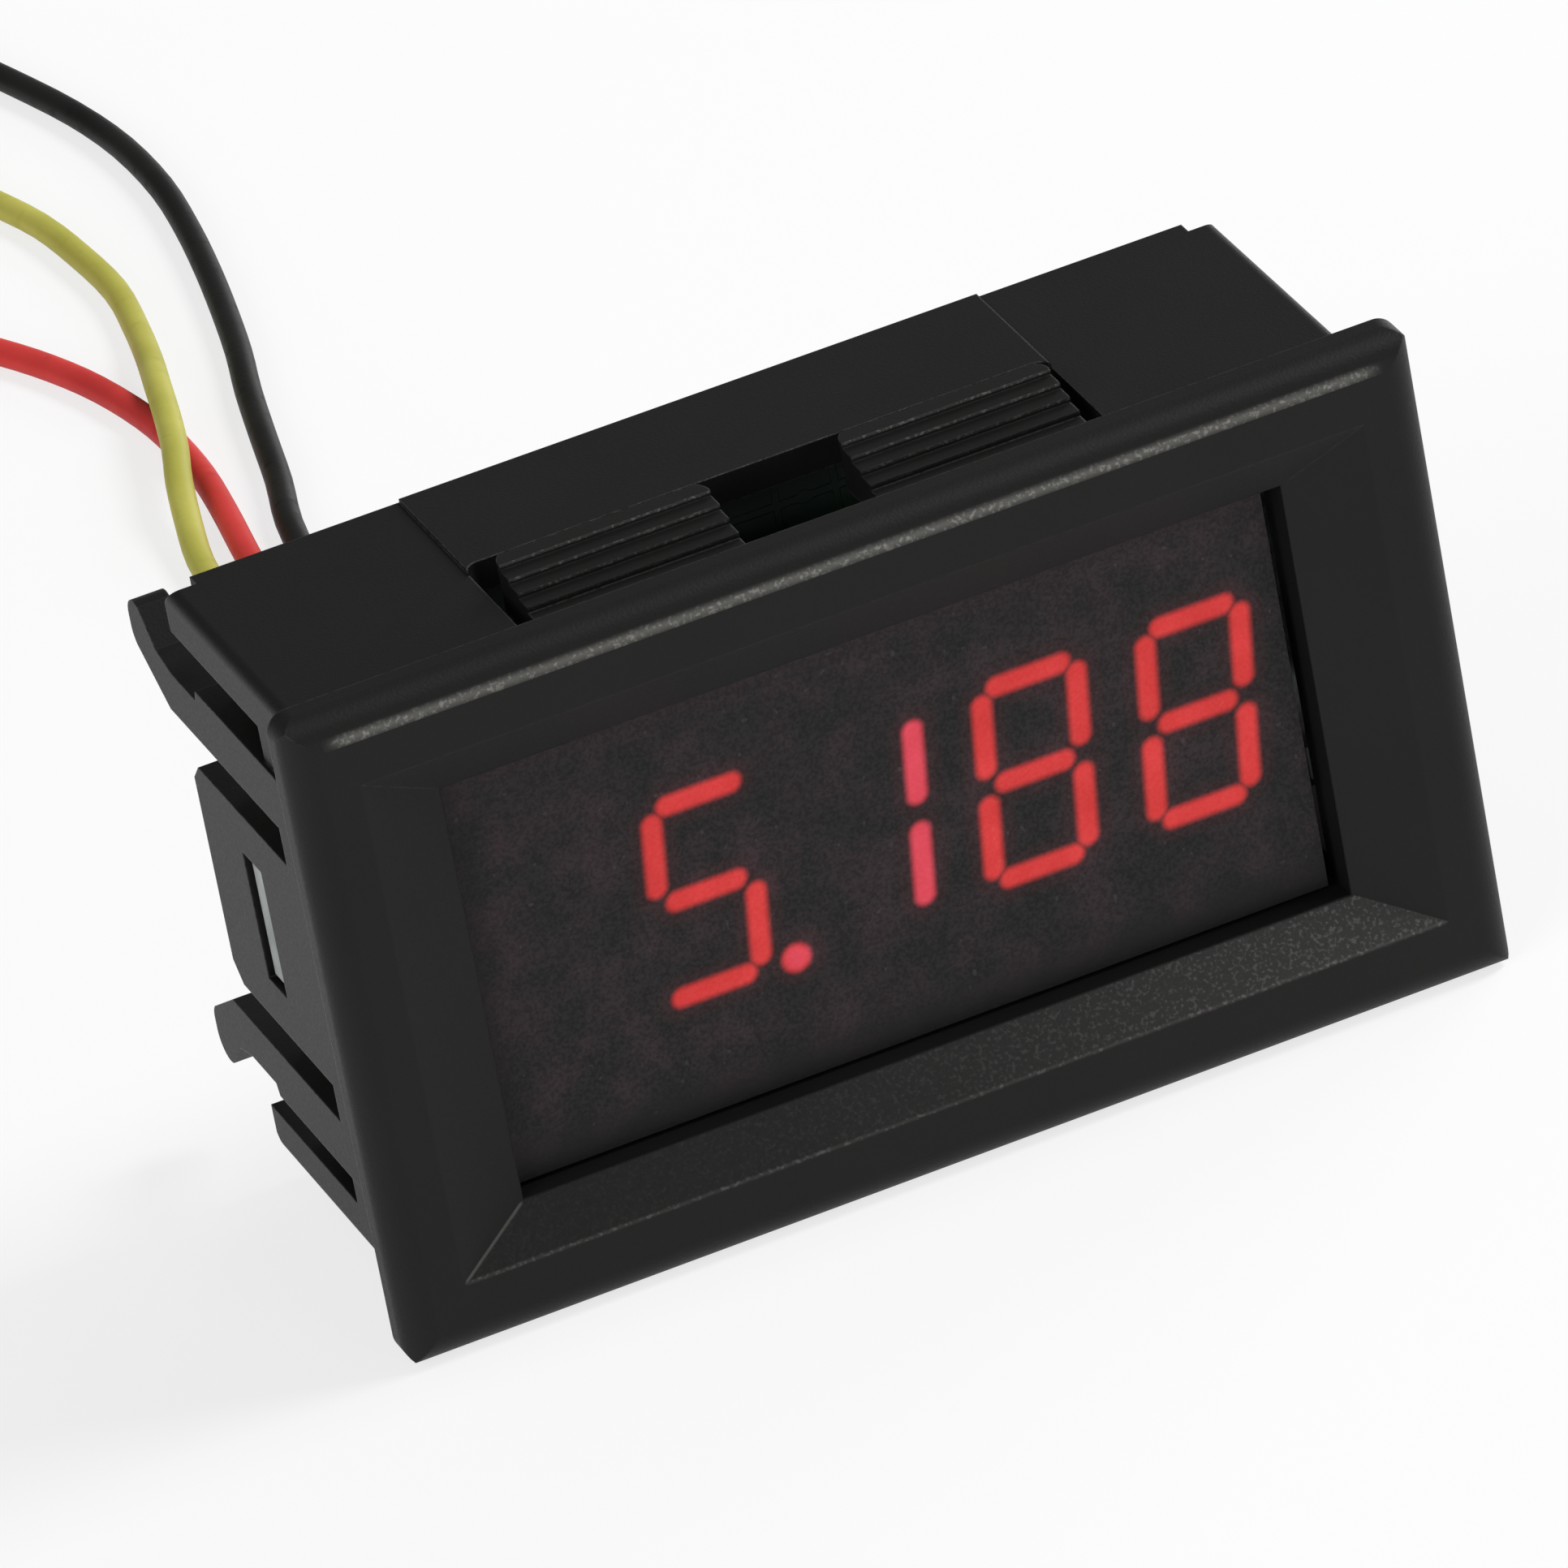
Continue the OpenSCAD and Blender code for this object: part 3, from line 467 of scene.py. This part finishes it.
# %% Measure the digits' cells
PITCH, SLANT = 7.06, 5.6  # the width of a digit's cell, and its lean in degrees
FIRST_X, DIGIT_Z = -14.965, 0.45  # the middle of the first cell
COLUMN_X, LEVEL_Z, UPRIGHT_MID = 2.04, 4.19, 2.21  # from there to the bars' middles
UPRIGHT_HALF, LEVEL_HALF, MIDDLE_HALF = 1.38, 1.38, 1.28  # half the bars' lengths
BAR_R, BLUR, HALO, SEAM = 0.42, 0.2, 0.9, 0.01  # half a bar's width, and how far its edges fade
POINT_X, POINT_Z, POINT_R = -4.83, -3.83, 0.6
LIT = {2: "afgcd", 3: "bc", 4: "abcdefg", 5: "abcdefg"}

film = Finish("dark_film", (0.03, 0.027, 0.028), 0.5)
film_x, film_z = film.along("X"), film.along("Z")
from_left = film_x - (FIRST_X - PITCH / 2)
digit = (from_left * (1 / PITCH)).math("FLOOR") + 1
up = film_z - DIGIT_Z
across = from_left - (digit - 0.5) * PITCH - up * math.tan(math.radians(SLANT))
above, right = up.step(-SEAM, SEAM), across.step(-SEAM, SEAM)


def among(digits):
    """1 in the cells of the given digits."""
    return sum(digit.math("COMPARE", number, 0.1) for number in digits)


def lit_part(letter):
    """1 in the cells of the digits whose segment of that letter is lit."""
    return among([number for number in LIT if letter in LIT[number]])


def from_line(along, half, off):
    """Distance to a line that reaches `half` to both sides, from the places along it and off it."""
    return film.distance((abs(along) - half).math("MAXIMUM", 0), off)


print(sum(len(letters) for letters in LIT.values()), "lit segments in", len(LIT), "digits")

# %% Light the segments
upright_bar = from_line(abs(up) - UPRIGHT_MID, UPRIGHT_HALF, abs(across) - COLUMN_X)
level_bar = from_line(across, LEVEL_HALF, abs(up) - LEVEL_Z)
middle_bar = from_line(across, MIDDLE_HALF, up)
from_point = from_line(film_x - POINT_X, 0, film_z - POINT_Z)
level_share = lit_part("a") * above + lit_part("d") * (1 - above)
right_share = lit_part("b") * above + lit_part("c") * (1 - above)
left_share = lit_part("f") * above + lit_part("e") * (1 - above)
upright_share = right_share * right + left_share * (1 - right)
bars = [(level_bar, BAR_R, level_share), (upright_bar, BAR_R, upright_share),
        (middle_bar, BAR_R, lit_part("g")), (from_point, POINT_R, 1)]
bright, halo = 0, 0
for distance, radius, share in bars:
    bright = distance.drop(radius - BLUR, radius + BLUR) * share | bright
    halo = distance.drop(radius, radius + HALO) * share | halo
print(len(bars) - 1, "kinds of bar,", 2 * BAR_R, "mm wide, and a point of", 2 * POINT_R, "mm")

# %% Finish the film
FILM_EDGE = 9.2
speckle = film.noise(0.15, 3).step(0.3, 0.7)
blotch = film.noise(2.2, 4).step(0.36, 0.78)
dust = film.noise(0.3, 0).step(0.8, 0.86)
upper_rim = film_z.step(FILM_EDGE - 1.6, FILM_EDGE - 0.1)
clear_of_shadow = film_z.step(-FILM_EDGE - 0.3, -FILM_EDGE + 2.5)
dark = film.mix(speckle, (0.005, 0.0048, 0.0046), (0.024, 0.0225, 0.023))
reddish = film.mix(speckle, (0.018, 0.011, 0.013), (0.048, 0.032, 0.036))
tinted = film.mix(blotch | upper_rim * 0.8, dark, reddish)
dusty = film.mix(dust * 0.15, tinted, (0.16, 0.16, 0.15))
# The film's lower edge is painted dark: painted shade.
film.set("Base Color", film.mix(clear_of_shadow, (0.009, 0.0088, 0.0084), dusty))
strength = film.noise(2.2, 1)
red_light = film.mix(strength, (0.5, 0.019, 0.018), (0.74, 0.036, 0.034))
hot_light = film.mix(strength, (0.58, 0.034, 0.048), (0.78, 0.06, 0.105))
core = film.mix(among([3]) | from_point.drop(0.1, 0.9), red_light, hot_light)
stray = film.mix(halo, (0, 0, 0), (0.016, 0.001, 0.002))
film.set("Emission Color", film.mix(bright, stray, core))
film.set("Emission Strength", 1.0)
film.set("Roughness", 0.5 + speckle * 0.2)
film.set("Specular IOR Level", 0.2)
film.bump(speckle, 0.006)
film.dress("display_filter")

# %% [markdown]
# ## The solder
#
# Molten solder climbs a pin and spreads over its pad, so each joint is a small trumpet, hollow in
# profile, and not the cone that stands for it in the solids. One joint is enough: a disc the size of
# the pad is extruded upwards ring by ring, and each new ring is drawn in. Its copies get their own
# meshes, a little taller or shorter, because no two hand-made joints are alike.

# %% Model one joint
BOARD_BACK = 11.6
PINS, PIN_PITCH, PIN_Z = 7, 5.08, 7.6  # two rows of seven
PIN_X = [(i - (PINS - 1) / 2) * PIN_PITCH for i in range(PINS)]
LEAD_X = [lead["x"] for lead in leads.values()]
JOINT_SIDES, CREASE = 24, 50  # an edge sharper than this many degrees stays sharp
print("pins at", [round(x, 2) for x in PIN_X], "mm, leads at", LEAD_X, "mm")


def trumpet(name, x, z, rings):
    """A solder joint on the board's back, from (radius, height) pairs in millimetres."""
    bpy.ops.object.select_all(action="DESELECT")
    radius, low = rings[0]
    middle = Vector((x, BOARD_BACK + low, z)) * MM
    bpy.ops.mesh.primitive_circle_add(vertices=JOINT_SIDES, radius=radius * MM, location=middle,
                                      fill_type="NGON", rotation=(-math.pi / 2, 0, 0))
    joint = bpy.context.object
    joint.name = name
    bpy.ops.object.transform_apply(location=True, rotation=True, scale=True)
    bpy.ops.object.mode_set(mode="EDIT")
    bpy.ops.mesh.select_all(action="SELECT")
    for (wide, below), (narrow, above) in zip(rings, rings[1:]):
        rise = (0, (above - below) * MM, 0)
        bpy.ops.mesh.extrude_region_move(TRANSFORM_OT_translate={"value": rise})
        k = narrow / wide
        ring_middle = Vector((x, BOARD_BACK + above, z)) * MM
        bpy.ops.transform.resize(value=(k, 1, k), center_override=ring_middle)
    bpy.ops.mesh.select_all(action="SELECT")
    bpy.ops.mesh.normals_make_consistent(inside=False)
    bpy.ops.object.mode_set(mode="OBJECT")
    bpy.ops.object.shade_smooth_by_angle(angle=math.radians(CREASE))
    return joint


def with_copies(joint, moves):
    """The joint and its moved copies, each (x, z, height factor), as one piece."""
    made = [joint]
    for dx, dz, tall in moves:
        twin = add(joint.name, joint.data.copy())
        for vertex in twin.data.vertices:
            rise = (vertex.co.y - BOARD_BACK * MM) * tall
            vertex.co = (vertex.co.x + dx * MM, BOARD_BACK * MM + rise, vertex.co.z + dz * MM)
        made.append(twin)
    bpy.ops.object.select_all(action="DESELECT")
    for one in made:
        one.select_set(True)
    bpy.context.view_layer.objects.active = joint
    bpy.ops.object.join()
    print(f"{joint.name}: {len(made)} joints, {len(joint.data.polygons)} faces")
    return joint


# %% Solder the display's pins
PIN_RINGS = [(0.92, 0), (0.9, 0.07), (0.68, 0.15), (0.5, 0.27), (0.39, 0.43), (0.32, 0.62),
             (0.28, 0.78)]
tallness = random.Random(11)
spots = [(x, z) for z in (-PIN_Z, PIN_Z) for x in PIN_X][1:]
pin_joints = with_copies(trumpet("pin_joints", PIN_X[0], -PIN_Z, PIN_RINGS),
                         [(x - PIN_X[0], z + PIN_Z, tallness.uniform(0.82, 1.1)) for x, z in spots])
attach(pin_joints, "meter")
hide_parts("display_solder")

# %% Solder the leads
LEAD_RINGS = [(1.12, 0), (1.08, 0.1), (0.92, 0.26), (0.74, 0.48), (0.57, 0.76), (0.45, 1.05),
              (0.38, 1.3), (0.33, 1.4)]
lead_joints = with_copies(trumpet("lead_joints", LEAD_X[0], JOINT_Z, LEAD_RINGS),
                          [(x - LEAD_X[0], 0, tall) for x, tall in zip(LEAD_X[1:], (0.9, 1.05))])
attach(lead_joints, "meter")

# %% [markdown]
# ## The stripped wires
#
# Between its joint and its sleeve each lead shows a little bare wire: seven strands, six of them
# twisted round the middle one. A strand is a thin curve, and a twist is only a turning of its points
# about the middle while they move along, so seven splines for each lead, made as the leads were, make
# the rope.

# %% Twist the strands
STRAND_D, STRANDS, STRAND_STEPS, TWIST = 0.23, 7, 8, 150  # the twist is in degrees
BARE_FROM, BARE_TO = BOARD_BACK + 0.9, LEAD_START + 0.3  # inside the joint and the sleeve


def strand(x, number):
    """The points of one strand: number 0 is the middle one, and the others turn round it."""
    out = STRAND_D if number else 0
    points = []
    for i in range(STRAND_STEPS + 1):
        part = i / STRAND_STEPS
        a = math.radians(number * 360 / (STRANDS - 1) + TWIST * part)
        points.append(Vector((x + out * math.cos(a), BARE_FROM + (BARE_TO - BARE_FROM) * part,
                              JOINT_Z + out * math.sin(a))))
    return points


bare_strands = round_curve("bare_strands", [strand(x, n) for x in LEAD_X for n in range(STRANDS)],
                           thickness=STRAND_D, roundness=2)
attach(bare_strands, "meter")
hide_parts("lead_solder")
print(len(bare_strands.data.splines), "strands,", round(BARE_TO - BARE_FROM, 1), "mm long")

# %% [markdown]
# ## The circuit board
#
# The board is glass-fibre laminate under a green solder mask. The copper tracks lie beneath the mask
# and show as slightly raised, lighter lines; round the pins the mask is open and the pads are tinned.
# Tracks need no drawing by hand: the board is divided into rows and cells, a random number in each
# cell says whether a track passes, and the distance to the row's middle gives its width.

# %% Draw the tracks
board_finish = Finish("solder_mask", (0.006, 0.045, 0.02), 0.3)
board_x, board_z = board_finish.along("X"), board_finish.along("Z")
LEVEL = {"pitch": 1.27, "cell": 8.1, "width": 0.34}
UPRIGHT = {"pitch": 2.54, "cell": 5.3, "width": 0.3}
ROW_SHIFT = 3.7  # each row's cells start this much further on, so that no ends line up


def tracks(across_rows, along_rows, pitch, cell, width):
    """Lines `width` wide every `pitch`, each present only in some of its cells, with the distance
    to the row's middle and the place in the cell."""
    row = across_rows * (1 / pitch)
    number = row.math("FLOOR")
    place = (along_rows + number * ROW_SHIFT) * (1 / cell)
    key = board_finish.node("CombineXYZ", None, {0: place.math("FLOOR"), 1: number})
    chance = board_finish.node("TexWhiteNoise", {"noise_dimensions": "2D"}, {"Vector": key})
    off_line = abs(row.math("FRACT") - 0.5) * pitch
    return off_line.drop(width / 2 - 0.02, width / 2 + 0.02) * chance.step(0.5, 0.52), off_line, place


level_tracks, off_row, in_cell = tracks(board_z, board_x, **LEVEL)
upright_tracks = tracks(board_x, board_z, **UPRIGHT)[0]
copper = level_tracks | upright_tracks
print("tracks every", LEVEL["pitch"], "mm level and every", UPRIGHT["pitch"], "mm upright")

# %% Open the pads and the vias
PIN_PAD_R, LEAD_PAD_R, VIA_R, PADS_END = 1.0, 1.2, 0.3, 17
pin_cell = ((board_x * (1 / PIN_PITCH) + 0.5).math("FRACT") - 0.5) * PIN_PITCH
to_pin = board_finish.distance(pin_cell, abs(board_z) - PIN_Z)
pad = to_pin.drop(PIN_PAD_R, PIN_PAD_R + 0.04) * abs(board_x).drop(PADS_END, PADS_END + 0.1)
for x in LEAD_X:
    to_lead = board_finish.distance(board_x - x, board_z - JOINT_Z)
    pad = pad | to_lead.drop(LEAD_PAD_R, LEAD_PAD_R + 0.04)
to_via = board_finish.distance(off_row, abs(in_cell.math("FRACT") - 0.5) * LEVEL["cell"])
via = to_via.drop(VIA_R, VIA_R + 0.03) * (1 - pad)
print(2 * PINS, "pin pads,", len(LEAD_X), "lead pads, and vias of", 2 * VIA_R, "mm")

# %% Finish the board
FIBRE, FIBRE_STRETCH = 10 / 9, (1, 12, 1)  # squeezed through the thickness into thin layers
faces_back = board_finish.facing("Y")
on_face = abs(faces_back).step(0.7, 0.9)
pad = pad * faces_back.step(0.7, 0.9)
layers = board_finish.node("Mapping", None, {"Vector": board_finish.place, "Scale": FIBRE_STRETCH})
fibre = board_finish.noise(FIBRE, 2, layers)
mask_tone = board_finish.noise(5, 2)
green = board_finish.mix(mask_tone, (0.005, 0.052, 0.022), (0.008, 0.075, 0.032))
green = board_finish.mix(copper, green, (0.016, 0.14, 0.06))
green = board_finish.mix(via * 0.8, green, (0.04, 0.19, 0.09))
# The board's front face, which lies in shade inside the housing, is painted darker: painted shade.
green = board_finish.mix(faces_back.step(-0.9, -0.7), (0.003, 0.022, 0.01), green)
laminate = board_finish.mix(fibre, (0.16, 0.14, 0.06), (0.34, 0.3, 0.15))
face = board_finish.mix(pad, green, (0.62, 0.62, 0.6))
board_finish.set("Base Color", board_finish.mix(on_face, laminate, face))
board_finish.set("Metallic", pad)
board_finish.set("Roughness", 0.28 + mask_tone * 0.12 + (1 - on_face) * 0.4)
board_finish.bump((copper | via) * on_face + fibre * (1 - on_face), 0.035)
board_finish.dress("circuit_board")

# %% [markdown]
# ## Metals
#
# Tinned legs, solder and the trimmer's screw are all bright metals, and their age makes the
# difference: tin dulls in patches, solder cools with a fine frosted skin, and the screw is turned, so
# it carries fine rings round its own axis.

# %% Finish the metals
def metal(name, light, dull, roughness, skin):
    """A metal that is dull in patches, with a skin whose grains are `skin` millimetres."""
    finish = Finish(name, light, roughness, 1.0)
    patches = finish.noise(0.7, 3).step(0.35, 0.7)
    skin_grain = finish.noise(skin, 2)
    finish.set("Base Color", finish.mix(patches, light, dull))
    finish.set("Roughness", roughness + patches * 0.18 + skin_grain * 0.1)
    finish.bump(skin_grain, 0.006)
    return finish


metal("tinned_metal", (0.72, 0.71, 0.69), (0.5, 0.49, 0.47), roughness=0.24, skin=0.12).dress(
    "display_pins", "chip_pins", "regulator_leads", "diode_leads", "trimmer_terminals",
    "yellow_tinned_end", "red_tinned_end", "black_tinned_end", "bare_strands")
metal("bright_solder", (0.68, 0.68, 0.69), (0.46, 0.46, 0.47), roughness=0.2, skin=0.2).dress(
    "pin_joints", "lead_joints", "chip_end_caps")

# %% Finish the trimmer's screw
ROTOR_X, ROTOR_Z = -16.0, 2.0
RING_RATE = 55  # this gives a ring every 0.11 mm, because a sine repeats every 2 pi
brass = Finish("turned_brass", (0.6, 0.52, 0.34), 0.3, 1.0)
from_axis = brass.distance(brass.along("X") - ROTOR_X, brass.along("Z") - ROTOR_Z)
tarnish = brass.noise(0.6, 3).step(0.4, 0.7)
brass.set("Base Color", brass.mix(tarnish, (0.66, 0.63, 0.55), (0.42, 0.37, 0.26)))
brass.set("Roughness", 0.26 + tarnish * 0.2)
brass.bump((from_axis * RING_RATE).math("SINE"), 0.004)
brass.dress("trimmer_rotor")

# %% [markdown]
# ## Plastics, resins and glazes
#
# The remaining solids are moulded or fired, and one recipe covers them: a tone that wanders between
# two close colours, a scatter of small flecks, a grain that both roughens and dimples the skin, and
# edges painted a little lighter as a painted highlight.
# What sets them apart is only the numbers: chalky and a little green for the display's pale shell,
# coarse and dark for the chips' filled epoxy, smooth for the resistors' glaze.

# %% Finish the moulded pieces
def moulded(name, dark, light, roughness, grain, relief, fleck=None, gloss=0.5):
    """A moulded surface between two tones; fleck is the colour of its small specks."""
    finish = Finish(name, light, roughness)
    skin_grain = finish.noise(grain, 3)
    colour = finish.mix(finish.noise(2.5, 3).step(0.3, 0.7), dark, light)
    if fleck:
        colour = finish.mix(finish.noise(0.15, 1).step(0.62, 0.7), colour, fleck)
    # The edges are painted lighter: a painted highlight.
    edge_highlight_tone = [min(1, v * 1.6 + 0.02) for v in light]
    finish.set("Base Color", finish.mix(finish.edge_mask(0.08) * 0.35, colour, edge_highlight_tone))
    finish.set("Roughness", roughness + skin_grain * 0.15)
    finish.set("Specular IOR Level", gloss)
    finish.bump(skin_grain, relief, edges=0.08)
    return finish


moulded("white_abs", (0.26, 0.29, 0.275), (0.44, 0.47, 0.455), roughness=0.55, grain=0.2,
        relief=0.015).dress("display_shell")
moulded("lit_resin", (0.6, 0.03, 0.02), (0.78, 0.05, 0.04), roughness=0.25, grain=0.3,
        relief=0.004).dress("digit_2_lit", "digit_3_lit", "digit_4_lit", "digit_5_lit", "point_lit")
moulded("milky_resin", (0.6, 0.56, 0.52), (0.72, 0.68, 0.64), roughness=0.35, grain=0.3,
        relief=0.004).dress("digit_1_unlit", "digit_2_unlit", "digit_3_unlit", "points_unlit")
moulded("chip_epoxy", (0.013, 0.013, 0.014), (0.022, 0.022, 0.023), roughness=0.5, grain=0.08,
        relief=0.012, fleck=(0.05, 0.05, 0.05), gloss=0.3).dress(
    "chip_body", "regulator_body", "diode_body")
moulded("resistor_glaze", (0.01, 0.01, 0.012), (0.018, 0.018, 0.021), roughness=0.18, grain=0.4,
        relief=0.004, fleck=(0.03, 0.03, 0.035)).dress("chip_resistors")
moulded("capacitor_ceramic", (0.3, 0.2, 0.11), (0.4, 0.27, 0.15), roughness=0.4, grain=0.15,
        relief=0.008, fleck=(0.22, 0.14, 0.08)).dress("chip_capacitors")
moulded("trimmer_plastic", (0.58, 0.55, 0.44), (0.68, 0.64, 0.52), roughness=0.38, grain=0.12,
        relief=0.006).dress("trimmer_body")

# %% [markdown]
# ## The leads' sleeves
#
# Soft PVC is slightly cloudy: its colour wanders along the lead, handling leaves dull scuffs, and the
# extruder leaves a skin that is not quite smooth. It reflects little, so its gloss is set low.

# %% Finish the sleeves
SLEEVES = {
    "yellow": ((0.45, 0.43, 0.08), (0.54, 0.51, 0.11)),
    "red": ((0.56, 0.042, 0.038), (0.67, 0.055, 0.05)),
    "black": ((0.009, 0.009, 0.0085), (0.014, 0.0138, 0.013)),
}
for colour, (deep, pale_tone) in SLEEVES.items():
    sleeve = Finish(f"{colour}_pvc", pale_tone, 0.5)
    scuff = sleeve.noise(0.9, 4).step(0.55, 0.75)
    skin_grain = sleeve.noise(0.25, 2)
    cloud = sleeve.mix(sleeve.noise(4, 2).step(0.3, 0.7), deep, pale_tone)
    sleeve.set("Base Color", sleeve.mix(scuff * 0.3, cloud, [v * 0.8 for v in deep]))
    sleeve.set("Roughness", 0.48 + scuff * 0.15 + skin_grain * 0.08)
    sleeve.set("Specular IOR Level", 0.16)
    sleeve.bump(skin_grain, 0.01)
    sleeve.dress(f"{colour}_wire")

# %% [markdown]
# ## Bringing the scene up to date
#
# The view layer is updated once more, so that every piece stands where it was put.

# %% Finish
bpy.context.view_layer.update()
